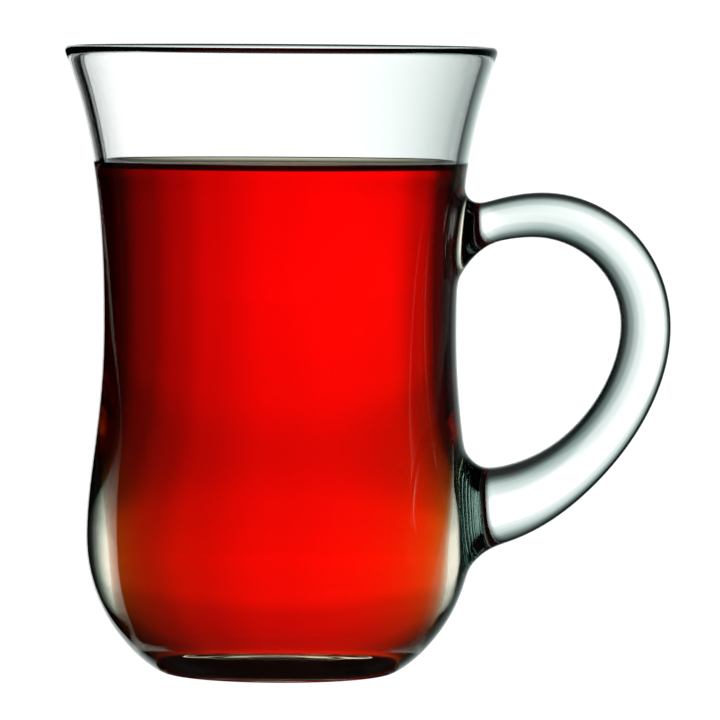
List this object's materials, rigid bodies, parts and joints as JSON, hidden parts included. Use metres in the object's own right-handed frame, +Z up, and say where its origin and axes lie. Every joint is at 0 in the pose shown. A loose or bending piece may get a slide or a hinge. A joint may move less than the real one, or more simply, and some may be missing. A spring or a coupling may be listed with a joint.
{
  "type": "turkish tea glass",
  "caption": "Clear waisted tea glass with a flared rounded lip, a round lower bulge and an ear handle, filled with red tea to below the lip.",
  "frame": {"origin": "middle of the foot, on the axis of the glass, in the plane that it stands on", "axes": "+Z up along the axis of the glass, +X towards the handle"},
  "size_m": [0.0851, 0.0606, 0.088],
  "materials": {
    "clear_glass": "clear pressed glass, smooth and glossy, with a faint green tint at thick edges",
    "red_tea": "clear red tea, glossy and still"
  },
  "bodies": {
    "root": {"glass": "clear_glass", "tea": "red_tea"}
  },
  "joints": []
}
